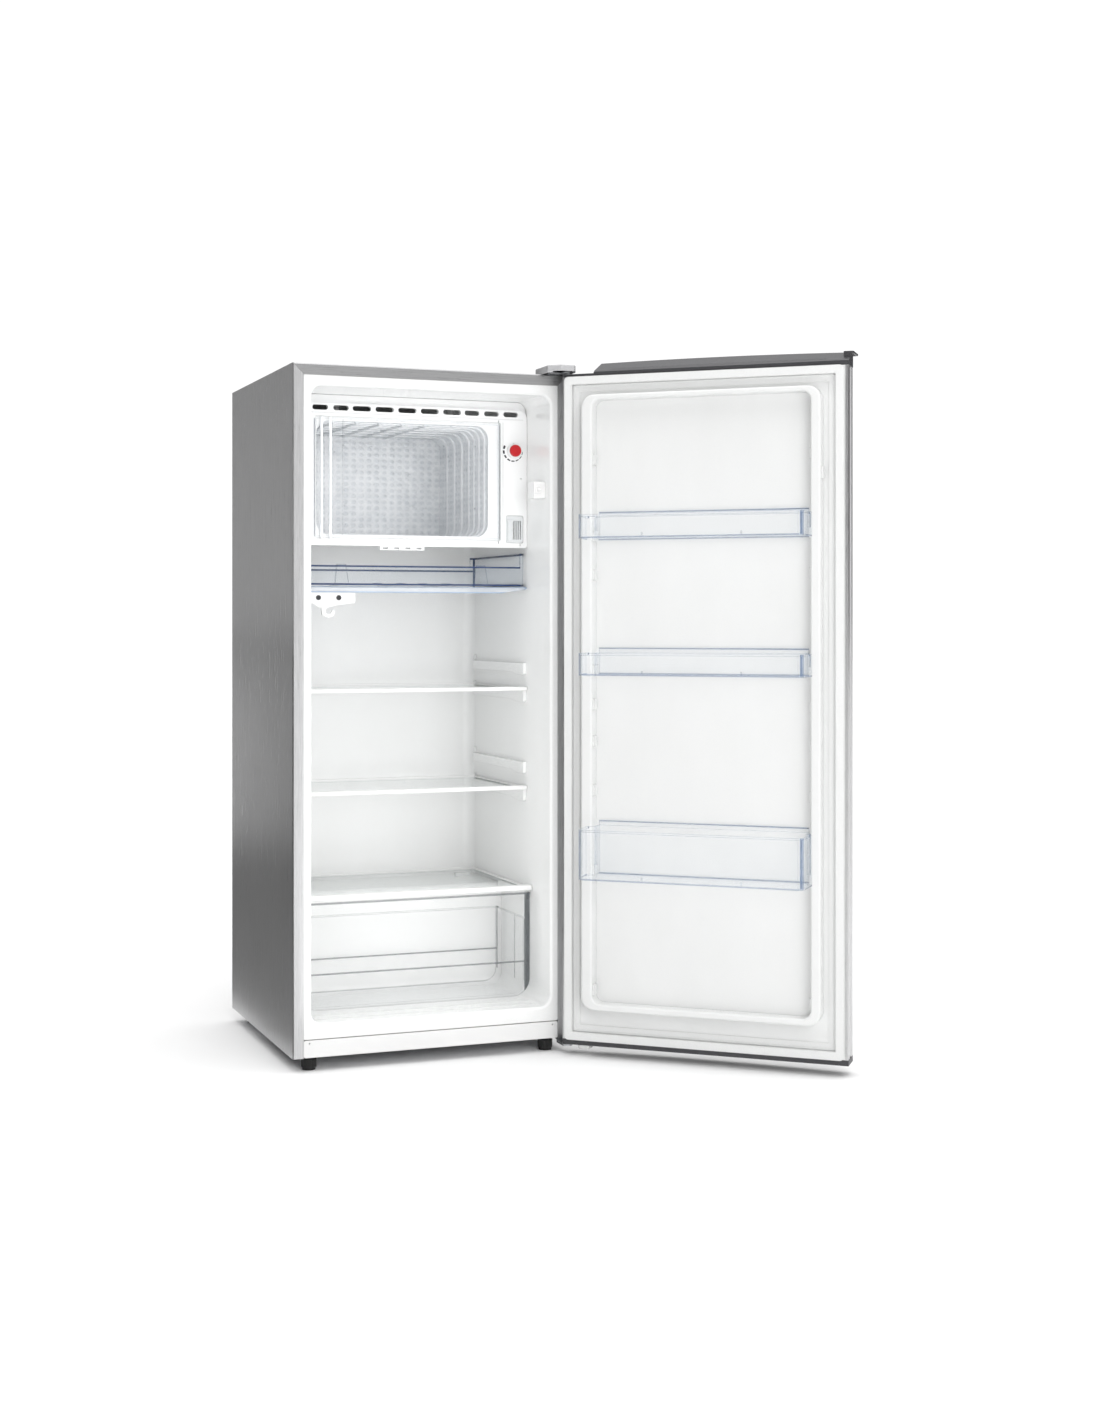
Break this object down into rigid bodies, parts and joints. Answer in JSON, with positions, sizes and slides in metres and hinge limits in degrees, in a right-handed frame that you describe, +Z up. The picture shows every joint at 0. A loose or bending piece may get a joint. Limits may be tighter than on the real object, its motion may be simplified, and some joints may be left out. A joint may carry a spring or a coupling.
{
  "type": "mini fridge",
  "caption": "Single-door mini fridge standing open, with ice box, clear flap, chill tray, glass shelves, crisper drawer and clear door bins.",
  "frame": {"origin": "on the floor under the middle of the cabinet's width and depth", "axes": "+Z up, -Y out of the front of the cabinet, +X towards the hinge side"},
  "size_m": [0.9603, 0.8992, 1.2916],
  "materials": {
    "silver_steel": "satin",
    "zinc_steel": "satin",
    "liner_white": "gloss",
    "trim_white": "gloss",
    "foam_cream": "matte",
    "cap_grey": "satin",
    "cover_silver": "satin",
    "rubber_black": "matte",
    "plastic_black": "matte",
    "gasket_white": "matte",
    "ice_aluminium": "satin",
    "clear_plastic": "clear gloss",
    "bin_clear": "clear gloss",
    "shelf_glass": "clear",
    "bulb_glass": "clear",
    "button_red": "gloss",
    "dial_grey": "satin",
    "compressor_black": "satin",
    "copper": "satin"
  },
  "bodies": {
    "cabinet": {"side_panel_left": "silver_steel", "side_panel_right": "silver_steel", "top_panel": "silver_steel", "back_panel": "zinc_steel", "bay_panel": "zinc_steel", "base_frame": "zinc_steel", "kick_plate": "trim_white", "inner_liner": "liner_white", "cabinet_foam": "foam_cream", "cabinet_screws": "zinc_steel", "rear_feet": "rubber_black", "top_hinge_bracket": "zinc_steel", "top_hinge_cover": "cover_silver", "lower_hinge_bracket": "zinc_steel", "evaporator": "ice_aluminium", "evaporator_hangers": "trim_white", "freezer_frame": "trim_white", "thermostat_body": "trim_white", "lamp_cover": "clear_plastic", "lamp_holder": "trim_white", "lamp_bulb": "bulb_glass", "switch_housing": "trim_white", "tray_support": "trim_white", "hook_bracket": "trim_white", "bracket_screws": "plastic_black", "compressor_plate": "zinc_steel", "compressor": "compressor_black", "compressor_mounts": "rubber_black", "mount_bolts": "zinc_steel", "relay_cover": "plastic_black", "drain_pan": "plastic_black", "terminal_box": "plastic_black", "cord_gland": "plastic_black", "filter_drier": "copper", "refrigerant_tubes": "copper"},
    "foot_left": {"front_foot_left": "rubber_black"},
    "foot_right": {"front_foot_right": "rubber_black"},
    "door": {"door_outer_panel": "silver_steel", "door_foam": "foam_cream", "door_top_cap": "cap_grey", "door_bottom_cap": "cap_grey", "hinge_bushes": "trim_white", "door_stop": "trim_white", "door_liner": "liner_white", "door_gasket": "gasket_white"},
    "bin_top": {"door_bin_top": "bin_clear"},
    "bin_middle": {"door_bin_middle": "bin_clear"},
    "bin_bottom": {"door_bin_bottom": "bin_clear"},
    "freezer_flap": {"freezer_door": "clear_plastic"},
    "dial": {"thermostat_dial": "dial_grey"},
    "button": {"defrost_button": "button_red"},
    "plunger": {"switch_plunger": "trim_white"},
    "tray": {"chill_tray": "clear_plastic"},
    "upper_shelf": {"shelf_upper_glass": "shelf_glass", "shelf_upper_trim": "trim_white"},
    "lower_shelf": {"shelf_lower_glass": "shelf_glass", "shelf_lower_trim": "trim_white"},
    "cover": {"crisper_cover_glass": "shelf_glass", "crisper_cover_trim": "trim_white"},
    "drawer": {"crisper_drawer": "clear_plastic"}
  },
  "joints": [
    {"name": "door_hinge", "type": "hinge", "parent": "cabinet", "child": "door", "pos_m": [0.257, -0.27, 0.025], "axis": [0, 0, 1], "range_deg": [-139.4, 0]},
    {"name": "freezer_door_hinge", "type": "hinge", "parent": "cabinet", "child": "freezer_flap", "pos_m": [0.171, -0.124, 1.073], "axis": [0, 0, 1], "range_deg": [0, 95]},
    {"name": "bin_top_lift", "type": "slide", "parent": "door", "child": "bin_top", "axis": [0, 0, 1], "range_m": [0, 0.04]},
    {"name": "bin_middle_lift", "type": "slide", "parent": "door", "child": "bin_middle", "axis": [0, 0, 1], "range_m": [0, 0.04]},
    {"name": "bin_bottom_lift", "type": "slide", "parent": "door", "child": "bin_bottom", "axis": [0, 0, 1], "range_m": [0, 0.05]},
    {"name": "chill_tray_slide", "type": "slide", "parent": "cabinet", "child": "tray", "axis": [0, -1, 0], "range_m": [0, 0.24]},
    {"name": "shelf_upper_slide", "type": "slide", "parent": "cabinet", "child": "upper_shelf", "axis": [0, -1, 0], "range_m": [0, 0.24]},
    {"name": "shelf_lower_slide", "type": "slide", "parent": "cabinet", "child": "lower_shelf", "axis": [0, -1, 0], "range_m": [0, 0.24]},
    {"name": "crisper_cover_slide", "type": "slide", "parent": "cabinet", "child": "cover", "axis": [0, -1, 0], "range_m": [0, 0.2]},
    {"name": "crisper_slide", "type": "slide", "parent": "cabinet", "child": "drawer", "axis": [0, -1, 0], "range_m": [0, 0.18]},
    {"name": "thermostat_turn", "type": "hinge", "parent": "cabinet", "child": "dial", "pos_m": [0.2015, -0.131, 1.133], "axis": [0, -1, 0], "range_deg": [0, 270]},
    {"name": "defrost_press", "type": "slide", "parent": "dial", "child": "button", "axis": [0, 1, 0], "range_m": [0, 0.003], "stiffness_N_per_m": 150},
    {"name": "switch_press", "type": "slide", "parent": "cabinet", "child": "plunger", "axis": [0, 1, 0], "range_m": [0, 0.0044]},
    {"name": "foot_left_turn", "type": "hinge", "parent": "cabinet", "child": "foot_left", "pos_m": [-0.229, -0.22, 0.025], "axis": [0, 0, 1], "continuous": true},
    {"name": "foot_right_turn", "type": "hinge", "parent": "cabinet", "child": "foot_right", "pos_m": [0.229, -0.22, 0.025], "axis": [0, 0, 1], "continuous": true}
  ],
  "couplings": [
    {"joint": "switch_press", "follows": "door_hinge", "m_per_rad": -0.0018}
  ]
}
